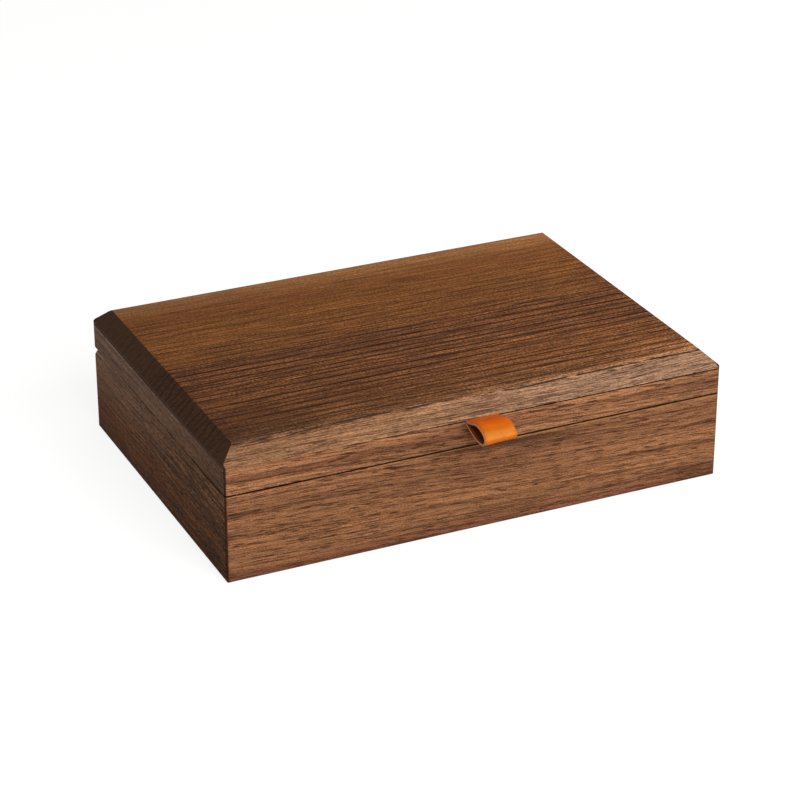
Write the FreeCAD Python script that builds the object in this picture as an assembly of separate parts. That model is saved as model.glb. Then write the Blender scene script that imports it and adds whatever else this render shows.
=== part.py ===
import FreeCAD, Part
import math
import os

# Walnut jewelry box: a mitred case, a hinged lid with a bevelled top board, a leather pull tab and a lining.
# Millimetres. X runs along the front, Y from front to back, Z up.
# The origin is the middle of the flat underside.

# Case and lid
box_width = 240.0
box_depth = 167.0
case_height = 41.2
seam_gap = 0.4
wall = 10.5
corner_radius = 1.6
foot_radius = 1.0
seam_arris = 0.2
bottom_thickness = 5.0
bottom_rebate = 5.0

# Lid: four rails, with the top board glued on them
rail_height = 12.5
rail_arris = 0.25
top_thickness = 4.3
top_back_radius = 0.8
crease_radius = 10.0
front_bevel_width = 14.6
front_edge_land = 0.3
left_bevel_width = 9.5
right_bevel_width = 3.4
side_edge_land = 0.8
field_drop = 3.0

# Relief along the back seam, which lets the lid lean back until its round edge meets the case's bevel
case_back_bevel = 4.5
lid_back_radius = 3.0

# Butt hinges
hinge_inset = 2.8
hinge_end_distance = 50.0
leaf_length = 24.0
leaf_margin = 0.9
leaf_thickness = 1.0
knuckle_radius = 2.0
lid_knuckle_length = 9.6
knuckle_gap = 0.2
knuckle_room = 0.3
pin_radius = 0.8
pin_clearance = 0.03
pin_tip_chamfer = 0.2

# Countersunk screws
screw_spacing = 15.0
screw_head_radius = 1.7
countersink_floor = 0.1
screw_shank_radius = 0.9
screw_length = 8.0
screw_tip_length = 1.5
screw_tip_radius = 0.2
screw_slot_width = 0.5
screw_slot_depth = 0.4
screw_clearance = 0.05

# Magnets that hold the lid shut
magnet_radius = 3.0
magnet_thickness = 2.5
magnet_end_distance = 50.0
magnet_sink = 0.1
magnet_arris = 0.3

# Leather pull tab: one strip folded in two, its tails in a housing on top of the front rail
tab_width = 15.3
leather = 1.1
tab_tail = 8.0
tab_reach = 18.1
tab_rise = 1.8
tab_sag = 5.0
tab_glue = 0.1
tab_samples = 40

# Lining, dividers and ring rolls
lining = 1.6
lining_below_rim = 3.0
floor_pad_thickness = 2.0
divider = 3.6
divider_below_rim = 6.0
ring_bay_length = 124.0
ring_base_height = 9.0
roll_count = 5
roll_gap = 0.4
roll_flat = 1.0
roll_end_radius = 2.5
soft_edge = 0.5

# Lid lining and mirror
lid_lining_thickness = 2.5
mirror_border = 20.0
mirror_thickness = 2.0
mirror_arris = 0.4

# Clearances of glued and slip fits
glue_fit = 0.1
slip_fit = 0.15

# Places that follow from the sizes
half_width = box_width / 2
half_depth = box_depth / 2
lid_low = case_height + seam_gap
joint_height = lid_low + rail_height
lid_top = joint_height + top_thickness
inner_half_width = half_width - wall
inner_half_depth = half_depth - wall
hinge_places = {"left": -half_width + hinge_end_distance, "right": half_width - hinge_end_distance}
magnet_places = (-half_width + magnet_end_distance, half_width - magnet_end_distance)
leaf_width = wall - hinge_inset - leaf_margin
screw_line = (knuckle_radius + knuckle_gap + leaf_width) / 2
screw_head_depth = leaf_thickness - countersink_floor
axis_y = half_depth - hinge_inset
axis_z = case_height + seam_gap / 2
floor_top = bottom_thickness + floor_pad_thickness
lined_half_width = inner_half_width - glue_fit - lining
lined_half_depth = inner_half_depth - glue_fit - lining
bay_depth = lined_half_depth - divider / 2
corner_signs = [(-1, -1), (1, -1), (1, 1), (-1, 1)]

V = FreeCAD.Vector


def block(low, high):
    """A box between two corners."""
    size = high - low
    return Part.makeBox(size.x, size.y, size.z, low)


def x_rod(radius, start, end, y=0.0, z=0.0):
    """A cylinder along X."""
    return Part.makeCylinder(radius, end - start, V(start, y, z), V(1, 0, 0))


def outline(corners, place):
    """A face inside the corners (u, v, radius), each rounded by it; place turns (u, v) into a point."""
    points = [place(u, v) for u, v, _ in corners]
    starts, ends, middles = [], [], []
    for i, (_, _, radius) in enumerate(corners):
        here = points[i]
        back = (points[i - 1] - here).normalize()
        ahead = (points[(i + 1) % len(points)] - here).normalize()
        half = back.getAngle(ahead) / 2
        starts.append(here + back * (radius / math.tan(half)))
        ends.append(here + ahead * (radius / math.tan(half)))
        middles.append(here + (back + ahead).normalize() * (radius / math.sin(half) - radius))
    edges = []
    for i, (_, _, radius) in enumerate(corners):
        if radius > 0:
            edges.append(Part.Arc(starts[i], middles[i], ends[i]).toShape())
        following = (i + 1) % len(corners)
        edges.append(Part.LineSegment(ends[i], starts[following]).toShape())
    return Part.Face(Part.Wire(edges))


def plan_prism(low, high):
    """The upright prism of the box's plan, with its corners rounded."""
    corners = [(x * half_width, y * half_depth, corner_radius) for x, y in corner_signs]
    return outline(corners, lambda u, v: V(u, v, low)).extrude(V(0, 0, high - low))


def side_prism(corners):
    """A profile seen from the side (y, z, radius), run through along X."""
    return outline(corners, lambda u, v: V(-half_width, u, v)).extrude(V(box_width, 0, 0))


def front_prism(corners):
    """A profile seen from the front (x, z, radius), run through along Y."""
    return outline(corners, lambda u, v: V(u, -half_depth, v)).extrude(V(0, box_depth, 0))


def mitred(shape, low, high):
    """The four boards of a frame, cut at the corners by 45 degree mitres."""
    outer = [V(x * half_width, y * half_depth) for x, y in corner_signs]
    inner = [V(x * inner_half_width, y * inner_half_depth) for x, y in corner_signs]
    boards = {}
    for i, name in enumerate(("front", "right", "back", "left")):
        following = (i + 1) % len(outer)
        corners = [outer[i], outer[following], inner[following], inner[i]]
        face = outline([(p.x, p.y, 0) for p in corners], lambda u, v: V(u, v, low))
        boards[name] = shape.common(face.extrude(V(0, 0, high - low)))
    return boards


def hinge_room(side):
    """What a hinge takes out of the wood: its leaf's bed, its knuckles' room and its screw holes."""
    half = leaf_length / 2 + slip_fit
    low, high = sorted((side * seam_gap / 2, side * (seam_gap / 2 + leaf_thickness)))
    bed = block(V(-half, -leaf_width - slip_fit, min(low, 0)), V(half, 0, max(high, 0)))
    room = bed.fuse(x_rod(knuckle_radius + knuckle_room, -half, half))
    radius = screw_shank_radius + screw_clearance
    depth = seam_gap / 2 + screw_length + screw_clearance
    for x in (-screw_spacing / 2, screw_spacing / 2):
        room = room.fuse(Part.makeCylinder(radius, depth, V(x, -screw_line, 0), V(0, 0, side)))
    return room


def magnet_bore(x, face, side):
    """The blind bore of one magnet, from the face at the seam into the wood."""
    place = V(x, -half_depth + wall / 2, face)
    return Part.makeCylinder(magnet_radius + slip_fit, magnet_sink + magnet_thickness, place, V(0, 0, side))


def at_hinges(shape):
    """Copies of a shape, made about the pin axis, at the two hinges."""
    return {name: shape.translated(V(x, axis_y, axis_z)) for name, x in hinge_places.items()}


def case_boards():
    """Front, right, back and left boards of the case."""
    shell = plan_prism(0, case_height)
    shell = shell.common(side_prism([
        (-half_depth, 0, foot_radius), (half_depth, 0, foot_radius),
        (half_depth, case_height - case_back_bevel, 0), (half_depth - case_back_bevel, case_height, 0),
        (-half_depth + seam_arris, case_height, 0), (-half_depth, case_height - seam_arris, 0)]))
    shell = shell.common(front_prism([
        (-half_width, 0, foot_radius), (half_width, 0, foot_radius),
        (half_width, case_height - seam_arris, 0), (half_width - seam_arris, case_height, 0),
        (-half_width + seam_arris, case_height, 0), (-half_width, case_height - seam_arris, 0)]))
    rebate = block(V(-inner_half_width - bottom_rebate, -inner_half_depth - bottom_rebate, -bottom_thickness),
                   V(inner_half_width + bottom_rebate, inner_half_depth + bottom_rebate, bottom_thickness))
    boards = {name: board.cut(rebate) for name, board in mitred(shell, 0, case_height).items()}
    for room in at_hinges(hinge_room(-1)).values():
        boards["back"] = boards["back"].cut(room)
    for x in magnet_places:
        boards["front"] = boards["front"].cut(magnet_bore(x, case_height, -1))
    return boards


def bottom_panel():
    """The bottom panel, glued into the rebate flush with the boards' underside."""
    half_x = inner_half_width + bottom_rebate - glue_fit
    half_y = inner_half_depth + bottom_rebate - glue_fit
    return block(V(-half_x, -half_y, 0), V(half_x, half_y, bottom_thickness))


def tab_housing():
    """The shallow housing on top of the front rail that takes the tab's two tails."""
    half = tab_width / 2 + slip_fit
    depth = 2 * leather + 3 * tab_glue
    return block(V(-half, -half_depth - wall, joint_height - depth),
                 V(half, -half_depth + tab_tail + slip_fit, joint_height + depth))


def lid_rails():
    """Front, right, back and left rails of the lid, below the top board."""
    shell = plan_prism(lid_low, joint_height)
    shell = shell.common(side_prism([
        (-half_depth, lid_low + seam_arris, 0), (-half_depth + seam_arris, lid_low, 0),
        (half_depth, lid_low, lid_back_radius), (half_depth, joint_height, 0),
        (-half_depth + rail_arris, joint_height, 0), (-half_depth, joint_height - rail_arris, 0)]))
    shell = shell.common(front_prism([
        (-half_width, lid_low + seam_arris, 0), (-half_width + seam_arris, lid_low, 0),
        (half_width - seam_arris, lid_low, 0), (half_width, lid_low + seam_arris, 0),
        (half_width, joint_height - rail_arris, 0), (half_width - rail_arris, joint_height, 0),
        (-half_width + rail_arris, joint_height, 0), (-half_width, joint_height - rail_arris, 0)]))
    rails = mitred(shell, lid_low, joint_height)
    for room in at_hinges(hinge_room(1)).values():
        rails["back"] = rails["back"].cut(room)
    for x in magnet_places:
        rails["front"] = rails["front"].cut(magnet_bore(x, lid_low, 1))
    rails["front"] = rails["front"].cut(tab_housing())
    return rails


def top_board():
    """The bevelled top board, with a field below it that drops into the frame of rails."""
    board = plan_prism(joint_height, lid_top)
    front_low = joint_height + front_edge_land
    side_low = joint_height + side_edge_land
    board = board.common(side_prism([
        (-half_depth, joint_height, 0), (half_depth, joint_height, 0), (half_depth, lid_top, top_back_radius),
        (-half_depth + front_bevel_width, lid_top, crease_radius), (-half_depth, front_low, 0)]))
    board = board.common(front_prism([
        (-half_width, joint_height, 0), (half_width, joint_height, 0), (half_width, side_low, 0),
        (half_width - right_bevel_width, lid_top, 0), (-half_width + left_bevel_width, lid_top, 0),
        (-half_width, side_low, 0)]))
    half_x = inner_half_width - glue_fit
    half_y = inner_half_depth - glue_fit
    field = block(V(-half_x, -half_y, joint_height - field_drop), V(half_x, half_y, joint_height))
    return board.fuse(field).removeSplitter()


def pull_tab():
    """The folded leather strip: two flat tails under the top board and an open loop in front of the box."""
    upper = -tab_glue - leather / 2
    lower = upper - leather - tab_glue
    # Middle of the leather from the upper tail round the fold to the lower tail, as shares of the reach and
    # heights above the rails: the strip arches a little above its mouth and sags below it.
    loop = [(0, upper), (0.25, 0.28 * tab_rise), (0.51, tab_rise), (0.75, 0.78 * tab_rise),
            (0.94, -0.06 * tab_sag), (1, -0.48 * tab_sag), (0.93, -0.86 * tab_sag),
            (0.73, -tab_sag), (0.51, -0.94 * tab_sag), (0.25, -0.68 * tab_sag), (0, lower)]
    mouth = V(-tab_width / 2, -half_depth, joint_height)
    places = [mouth + V(0, -share * tab_reach, height) for share, height in loop]
    middle = Part.BSplineCurve()
    middle.interpolate(places, InitialTangent=V(0, -1, 0), FinalTangent=V(0, 1, 0))
    first, last = middle.FirstParameter, middle.LastParameter
    inward = V(0, tab_tail, 0)
    edges, tail_ends = [], []
    for offset in (leather / 2, -leather / 2):
        points = []
        for i in range(tab_samples + 1):
            u = first + (last - first) * i / tab_samples
            points.append(middle.value(u) + middle.tangent(u)[0].cross(V(1, 0, 0)) * offset)
        curve = Part.BSplineCurve()
        curve.interpolate(points, InitialTangent=V(0, -1, 0), FinalTangent=V(0, 1, 0))
        edges.append(curve.toShape())
        edges += [Part.LineSegment(point, point + inward).toShape() for point in (points[0], points[-1])]
        tail_ends.append((points[0] + inward, points[-1] + inward))
    edges += [Part.LineSegment(one, other).toShape() for one, other in zip(*tail_ends)]
    wire = Part.Wire(Part.sortEdges(edges)[0])
    return Part.Face(wire).extrude(V(tab_width, 0, 0))


def knuckle_spans(side):
    """Where a leaf has its knuckles along the pin: the lid leaf's between the two of the case leaf."""
    middle = lid_knuckle_length / 2
    if side > 0:
        return [(-middle, middle)]
    return [(-leaf_length / 2, -middle - knuckle_gap), (middle + knuckle_gap, leaf_length / 2)]


def screw_body(room, length):
    """A countersunk head and shank, or the hole for them with some room, head up at the origin."""
    start, down = V(0, 0, 0), V(0, 0, -1)
    radius = screw_shank_radius + room
    head = Part.makeCone(screw_head_radius + room, radius, screw_head_depth, start, down)
    return head.fuse(Part.makeCylinder(radius, length, start, down))


def screw():
    """One slotted countersunk screw, head up at the origin, with a tapered tip."""
    straight = screw_length - screw_tip_length
    end, down = V(0, 0, -straight), V(0, 0, -1)
    tip = Part.makeCone(screw_shank_radius, screw_tip_radius, screw_tip_length, end, down)
    slot = block(V(-screw_head_radius, -screw_slot_width / 2, -screw_slot_depth),
                 V(screw_head_radius, screw_slot_width / 2, screw_slot_depth))
    return screw_body(0, straight).fuse(tip).cut(slot).removeSplitter()


def facing(shape, side):
    """A shape made head up for the case, turned over about X for the lid."""
    turned = shape.copy()
    if side > 0:
        turned.rotate(V(0, 0, 0), V(1, 0, 0), 180)
    return turned


def hinge_leaf(side):
    """One leaf about the pin axis at the origin: side is -1 for the case and 1 for the lid."""
    low = min(side * seam_gap / 2, side * (seam_gap / 2 + leaf_thickness))
    leaf = block(V(-leaf_length / 2, -leaf_width, low), V(leaf_length / 2, 0, low + leaf_thickness))
    for start, end in knuckle_spans(-side):
        leaf = leaf.cut(x_rod(knuckle_radius + knuckle_gap, start - knuckle_gap, end + knuckle_gap))
    for start, end in knuckle_spans(side):
        leaf = leaf.fuse(x_rod(knuckle_radius, start, end))
    leaf = leaf.cut(x_rod(pin_radius + pin_clearance, -leaf_length, leaf_length))
    hole = facing(screw_body(screw_clearance, screw_length), side)
    for x in (-screw_spacing / 2, screw_spacing / 2):
        leaf = leaf.cut(hole.translated(V(x, -screw_line, side * seam_gap / 2)))
    return leaf.removeSplitter()


def hinge_pin():
    """The pin of a hinge, its ends chamfered."""
    pin = x_rod(pin_radius, -leaf_length / 2, leaf_length / 2)
    rims = [edge for edge in pin.Edges if isinstance(edge.Curve, Part.Circle)]
    return pin.makeChamfer(pin_tip_chamfer, rims)


def hinge_screws(side):
    """The four screws of one side of the seam, as separate solids."""
    screws = []
    for x in hinge_places.values():
        for dx in (-screw_spacing / 2, screw_spacing / 2):
            place = V(x + dx, axis_y - screw_line, axis_z + side * seam_gap / 2)
            screws.append(facing(screw(), side).translated(place))
    return Part.makeCompound(screws)


def magnets(face, side):
    """The two disc magnets of one side of the seam, a little below the wood."""
    discs = []
    for x in magnet_places:
        place = V(x, -half_depth + wall / 2, face + side * magnet_sink)
        disc = Part.makeCylinder(magnet_radius, magnet_thickness, place, V(0, 0, side))
        rims = [edge for edge in disc.Edges if isinstance(edge.Curve, Part.Circle)]
        discs.append(disc.makeChamfer(magnet_arris, rims))
    return Part.makeCompound(discs)


def eased(shape, radius):
    """A soft board with all its edges rounded."""
    return shape.makeFillet(radius, shape.Edges)


def wall_linings():
    """Four covered boards round the inside of the case: the sides stand between the front and the back."""
    low, high = bottom_thickness, case_height - lining_below_rim
    outer_x = inner_half_width - glue_fit
    outer_y = inner_half_depth - glue_fit
    side_end = lined_half_depth - slip_fit
    return {
        "lining_front": block(V(-outer_x, -outer_y, low), V(outer_x, -lined_half_depth, high)),
        "lining_back": block(V(-outer_x, lined_half_depth, low), V(outer_x, outer_y, high)),
        "lining_left": block(V(-outer_x, -side_end, low), V(-lined_half_width, side_end, high)),
        "lining_right": block(V(lined_half_width, -side_end, low), V(outer_x, side_end, high)),
    }


def floor_pad():
    """The covered board on the bottom, between the wall linings."""
    half_x = lined_half_width - slip_fit
    half_y = lined_half_depth - slip_fit
    return block(V(-half_x, -half_y, bottom_thickness), V(half_x, half_y, floor_top))


def dividers():
    """One long divider across the case, two short ones behind it and two in front, evenly spaced."""
    high = case_height - divider_below_rim
    half_x = lined_half_width - slip_fit
    near, far = divider / 2 + slip_fit, lined_half_depth - slip_fit
    bay_end = -lined_half_width + ring_bay_length
    back_middle = (bay_end + divider + lined_half_width) / 2
    third = (2 * lined_half_width - 2 * divider) / 3
    front_left = -lined_half_width + third + divider / 2
    places = {
        "ring_bay_divider": (bay_end + divider / 2, near, far),
        "back_divider": (back_middle, near, far),
        "front_left_divider": (front_left, -far, -near),
        "front_right_divider": (-front_left, -far, -near),
    }
    boards = {"long_divider": block(V(-half_x, -divider / 2, floor_top), V(half_x, divider / 2, high))}
    for name, (x, start, end) in places.items():
        boards[name] = block(V(x - divider / 2, start, floor_top), V(x + divider / 2, end, high))
    return boards


def ring_base():
    """The foam block that lifts the ring rolls, behind the long divider."""
    start = -lined_half_width + slip_fit
    end = -lined_half_width + ring_bay_length - slip_fit
    return block(V(start, divider / 2 + slip_fit, floor_top),
                 V(end, lined_half_depth - slip_fit, floor_top + ring_base_height))


def ring_rolls():
    """Covered foam rolls side by side on the base, each flat where it rests; rings stand between them."""
    pitch = bay_depth / roll_count
    radius = (pitch - roll_gap) / 2
    start = -lined_half_width + roll_gap
    end = -lined_half_width + ring_bay_length - roll_gap
    seat = floor_top + ring_base_height
    rolls = {}
    for i in range(roll_count):
        y = divider / 2 + pitch * (i + 0.5)
        roll = x_rod(radius, start, end, y, seat + radius - roll_flat)
        rims = [edge for edge in roll.Edges if isinstance(edge.Curve, Part.Circle)]
        roll = roll.makeFillet(roll_end_radius, rims)
        below = block(V(start, y - radius, seat - 2 * radius), V(end, y + radius, seat))
        rolls["ring_roll_%d" % (i + 1)] = roll.cut(below)
    return rolls


def lid_inside():
    """The covered board under the top board and the mirror in its window."""
    high = joint_height - field_drop
    half_x = inner_half_width - glue_fit
    half_y = inner_half_depth - glue_fit
    board = block(V(-half_x, -half_y, high - lid_lining_thickness), V(half_x, half_y, high))
    board = eased(board, soft_edge)
    glass_x = half_x - mirror_border
    glass_y = half_y - mirror_border
    window = block(V(-glass_x, -glass_y, lid_low), V(glass_x, glass_y, high))
    glass_x -= glue_fit
    glass_y -= glue_fit
    glass = block(V(-glass_x, -glass_y, high - mirror_thickness), V(glass_x, glass_y, high))
    front_edges = [e for e in glass.Edges if e.BoundBox.ZMax < high - mirror_thickness / 2]
    return {"lid_lining": board.cut(window), "lid_mirror": glass.makeChamfer(mirror_arris, front_edges)}


def all_nodes():
    """Every sub-part by its node name."""
    nodes = {"case_%s_board" % name: board for name, board in case_boards().items()}
    nodes["case_bottom_panel"] = bottom_panel()
    nodes.update({"lid_%s_rail" % name: rail for name, rail in lid_rails().items()})
    nodes["lid_top_board"] = top_board()
    nodes["pull_tab"] = pull_tab()
    for name, leaf in at_hinges(hinge_leaf(-1)).items():
        nodes["hinge_%s_case_leaf" % name] = leaf
    for name, leaf in at_hinges(hinge_leaf(1)).items():
        nodes["hinge_%s_lid_leaf" % name] = leaf
    for name, pin in at_hinges(hinge_pin()).items():
        nodes["hinge_%s_pin" % name] = pin
    nodes["case_hinge_screws"] = hinge_screws(-1)
    nodes["lid_hinge_screws"] = hinge_screws(1)
    nodes["case_magnets"] = magnets(case_height, -1)
    nodes["lid_magnets"] = magnets(lid_low, 1)
    soft_boards = dict(wall_linings(), floor_pad=floor_pad(), ring_base=ring_base(), **dividers())
    nodes.update({name: eased(board, soft_edge) for name, board in soft_boards.items()})
    nodes.update(ring_rolls())
    nodes.update(lid_inside())
    return nodes


def main():
    os.makedirs("parts", exist_ok=True)
    for name, shape in all_nodes().items():
        print("%-22s %d solids, valid %s" % (name, len(shape.Solids), shape.isValid()))
        shape.exportStep("parts/%s.step" % name)


main()
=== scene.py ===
"""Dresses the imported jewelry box: oiled walnut, a leather pull tab, brass hinges and a suede lining."""

import math

import bmesh
import bpy
from mathutils import Matrix, Vector, noise


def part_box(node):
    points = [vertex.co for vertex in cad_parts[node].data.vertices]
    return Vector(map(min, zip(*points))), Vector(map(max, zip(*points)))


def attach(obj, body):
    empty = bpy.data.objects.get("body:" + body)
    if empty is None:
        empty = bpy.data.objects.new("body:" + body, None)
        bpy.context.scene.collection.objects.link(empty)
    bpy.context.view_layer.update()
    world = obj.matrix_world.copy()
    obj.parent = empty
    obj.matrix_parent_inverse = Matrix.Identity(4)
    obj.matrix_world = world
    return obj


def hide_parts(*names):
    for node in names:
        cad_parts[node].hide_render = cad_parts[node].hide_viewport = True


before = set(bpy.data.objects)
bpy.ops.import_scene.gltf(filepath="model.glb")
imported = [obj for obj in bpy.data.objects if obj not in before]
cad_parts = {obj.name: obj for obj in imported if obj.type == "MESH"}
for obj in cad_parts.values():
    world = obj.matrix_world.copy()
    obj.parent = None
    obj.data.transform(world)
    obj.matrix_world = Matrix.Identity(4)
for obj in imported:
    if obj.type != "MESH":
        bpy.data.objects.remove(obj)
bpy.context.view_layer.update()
MM = 0.001

bl_info = {
    "name": "Walnut jewelry box",
    "version": (1, 0, 0),
    "blender": (4, 5, 0),
    "location": "3D View > Sidebar > Jewelry box",
    "description": "Dresses the packed jewelry box and sets its studio",
    "category": "Object",
}


def colour(code):
    """Linear red, green and blue of an sRGB hex value."""
    parts = [int(code[i:i + 2], 16) / 255 for i in (1, 3, 5)]
    return [p / 12.92 if p <= 0.04045 else ((p + 0.055) / 1.055) ** 2.4 for p in parts]


def paint(name, description, code):
    """A colour setting, written as an sRGB hex value."""
    return bpy.props.FloatVectorProperty(
        name=name, description=description, subtype="COLOR", min=0.0, max=1.0, default=colour(code))


def length(name, description, millimetres):
    """A length setting, written in millimetres."""
    return bpy.props.FloatProperty(
        name=name, description=description, subtype="DISTANCE", unit="LENGTH", min=0.0, precision=5,
        default=millimetres * MM)


def group(name, description, kind):
    """A group of settings."""
    return bpy.props.PointerProperty(name=name, description=description, type=kind)


class JEWELRY_BOX_PG_walnut(bpy.types.PropertyGroup):
    """Figure and colours of the walnut"""
    streak: paint("Streak", "Purple-brown of the dark streaks and dashes", "#4a2c23")
    # Its colour also paints the shade in the seam between lid and case and along the glue line.
    pore: paint("Pore", "Inside of the open pores, and the dark lines at joints", "#2c170e")
    ring: paint("Ring", "Late wood that ends a growth ring", "#37190d")
    # Painted sheen: the pale greyish tone on the front bevel of the top and on the upper back of the left
    # side, for reflected light.
    pale_sheen: paint("Sapwood", "Pale wood at the far end of some boards", "#ab8973")
    # Painted highlight: the pale line along the case's upper edge below the seam, where the edge catches
    # the light.
    arris_highlight: paint("Arris", "Worn edge that catches the light", "#c18a4e")
    vein: paint("Vein", "Mineral vein along the crease of the bevel", "#3a2c2c")
    end_grain: paint("End grain", "Sawn ends, which drink more oil", "#4c3421")
    ring_spacing: length("Ring spacing", "Distance between two growth rings on the top", 4.6)
    streak_width: length("Streak width", "Width of the dark streaks", 4.5)
    streak_length: length("Streak length", "Length of the dark streaks", 170)
    wander: length("Wander", "How far the grain strays from straight", 3.0)
    pore_length: length("Pore length", "Length of an open pore", 5.5)
    pore_width: length("Pore width", "Width of a pore, drawn twice as wide as a real one", 0.32)


class JEWELRY_BOX_PG_leather(bpy.types.PropertyGroup):
    """Colours and make of the pull tab"""
    grain_side: paint("Grain side", "Dyed outside of the strip", "#fa6e00")
    # Painted light: the front-facing side of the fold gets this lighter, yellower tone for the key light
    # on it.
    face: paint("Face", "Dyed outside of the fold, rubbed by fingers", "#e1751c")
    # Painted highlight: a paler band where the fold turns up into its top.
    bend: paint("Bend", "Dyed outside where the fold stretches and lightens it", "#e78a38")
    flesh_side: paint("Flesh side", "Raw inside of the strip", "#96491f")
    cut_edge: paint("Cut edge", "Undyed cut edge of the strip", "#f2b89c")
    thickness: length("Thickness", "Thickness of the leather", 1.1)
    pebble: length("Pebble", "Size of the fine grain in the dyed side", 0.45)


class JEWELRY_BOX_PG_lining(bpy.types.PropertyGroup):
    """Colour and padding of the suede lining"""
    suede: paint("Suede", "Suede of the linings, dividers and rolls", "#b29c80")
    edge: length("Edge", "Rounding where the suede turns over an edge", 0.8)
    crown: length("Crown", "How far a padded face stands out in its middle", 0.35)
    nap: length("Nap", "Size of the nap, drawn coarse enough to show", 0.5)


class JEWELRY_BOX_PG_fittings(bpy.types.PropertyGroup):
    """Colours of the metal fittings and the mirror"""
    brass: paint("Brass", "Hinges and screws", "#ccb07a")
    nickel: paint("Nickel", "Plated magnets", "#c9c6bf")
    silver: paint("Silver", "Silvered mirror glass", "#e4eae8")
    glass_edge: paint("Glass edge", "Ground edge of the mirror", "#9fb8ad")


class JEWELRY_BOX_PG_stage(bpy.types.PropertyGroup):
    """Floor, light and camera"""
    floor: paint("Floor", "Pale floor", "#a6a6a4")
    key_power: bpy.props.FloatProperty(
        name="Key power", description="Power of the large soft light at the front right",
        subtype="POWER", unit="POWER", min=0.0, default=24.5)
    ambient: bpy.props.FloatProperty(
        name="Ambient", description="Level of the even light from above", min=0.0, default=0.24)
    lens: bpy.props.FloatProperty(
        name="Lens", description="Focal length of the camera", subtype="DISTANCE_CAMERA", unit="CAMERA",
        min=1.0, default=120.05)
    camera_place: bpy.props.FloatVectorProperty(
        name="Camera place", description="Where the camera stands", subtype="TRANSLATION", unit="LENGTH",
        precision=5, default=(-0.46868, -1.00868, 0.56563))
    camera_turn: bpy.props.FloatVectorProperty(
        name="Camera turn", description="How the camera is turned", subtype="EULER", unit="ROTATION",
        default=(math.radians(64.102), 0.0, math.radians(-24.904)))


class JEWELRY_BOX_PG_settings(bpy.types.PropertyGroup):
    """All settings of the jewelry box"""
    walnut: group("Walnut", "Walnut boards", JEWELRY_BOX_PG_walnut)
    leather: group("Leather", "Pull tab", JEWELRY_BOX_PG_leather)
    lining: group("Lining", "Suede lining", JEWELRY_BOX_PG_lining)
    fittings: group("Fittings", "Metal and mirror", JEWELRY_BOX_PG_fittings)
    stage: group("Stage", "Floor, light and camera", JEWELRY_BOX_PG_stage)


def add_node(tree, kind, sockets=None, stops=None, **options):
    """Add a shader node with its options, links, constants and colour stops, and return its outputs."""
    node = tree.nodes.new("ShaderNode" + kind)
    for option, value in options.items():
        setattr(node, option, value)
    for socket, value in (sockets or {}).items():
        if isinstance(value, bpy.types.NodeSocket):
            tree.links.new(value, node.inputs[socket])
        elif node.inputs[socket].type == "RGBA" and len(value) == 3:
            node.inputs[socket].default_value = (*value, 1.0)
        else:
            node.inputs[socket].default_value = value
    if stops:
        elements = node.color_ramp.elements
        while len(elements) < len(stops):
            elements.new(1.0)
        for element, (position, tone) in zip(elements, stops):
            element.position = position
            element.color = (*tone, 1.0)
    return node.outputs


def new_material(name, constants):
    """A node material, its tree and the Principled shader that it ends in, with some constants set."""
    material = bpy.data.materials.new(name)
    material.use_nodes = True
    tree = material.node_tree
    shader = tree.nodes["Principled BSDF"]
    for socket, value in constants.items():
        shader.inputs[socket].default_value = value
    return material, tree, shader


# Levels of a noise over which it has its effect: its usual ones, wider ones, and all.
LEVELS = {"From Min": 0.3, "From Max": 0.7}
WIDE_LEVELS = {"From Min": 0.25, "From Max": 0.75}
ALL_LEVELS = {"From Min": 0.0, "From Max": 1.0}


def mottled(tree, tone, layer, darkest, lightest, levels=LEVELS):
    """A tone made darker and lighter by a layer of noise, between two shares of it."""
    share = add_node(tree, "MapRange", {
        "Value": layer, **levels, "To Min": darkest, "To Max": lightest})[0]
    return add_node(tree, "VectorMath", {0: tone, "Scale": share}, operation="SCALE")[0]


def coat(tree, shader, tone, rough, height, strength, depth):
    """Give a shader its colour, its roughness and the relief of a height."""
    relief = add_node(tree, "Bump", {"Height": height, "Strength": strength, "Distance": depth})[0]
    tree.links.new(tone, shader.inputs["Base Color"])
    tree.links.new(rough, shader.inputs["Roughness"])
    tree.links.new(relief, shader.inputs["Normal"])


# Layers of the walnut's figure that are the same on every board: length, width and depth of the noise in
# metres, and a shift that keeps it from lying over another one.
FIGURE = {
    "stray": (0.11, 0.05, 0.09, 0.0),
    "clouds": (0.12, 0.03, 0.05, 4.4),
    "ring_waver": (0.35, 0.014, 0.02, 6.2),
    "ring_fade": (0.1, 0.006, 0.02, 8.8),
    "vein_stray": (0.05, 0.03, 0.03, 9.9),
    "vein_gaps": (0.012, 0.004, 0.004, 11.3),
    "seam_gaps": (0.03, 0.03, 0.03, 7.3),
}
# Shift of the layers whose sizes come from the settings or from the cut, and the detail of some.
STREAK_NOISE = (0.0, 2.0)
WISP_NOISE = (1.9, 2.0)
PORE_NOISE = (2.7, 0.0)
GRAIN_SHIFT = 3.3
DASH_SHIFT = 5.6
FIGURE_ROUGHNESS = 0.55
# Depth of the streaks and of the finer wisps in metres, size of a wisp as a share of a streak, and depth
# of all finer layers as a share of their width.
STREAK_DEPTH = 0.03
WISP_DEPTH = 0.004
WISP_SHARES = (0.4, 0.27)
FINE_DEPTH = 1.5
CLOUD_STRENGTH = 0.1
# How far one layer moves another: the rings by shares of their spacing, the vein in metres.
STREAK_FRAY = 0.07
DASH_FRAY = 0.06
RING_WAVER = 0.9
VEIN_STRAY = 2 * MM
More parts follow.
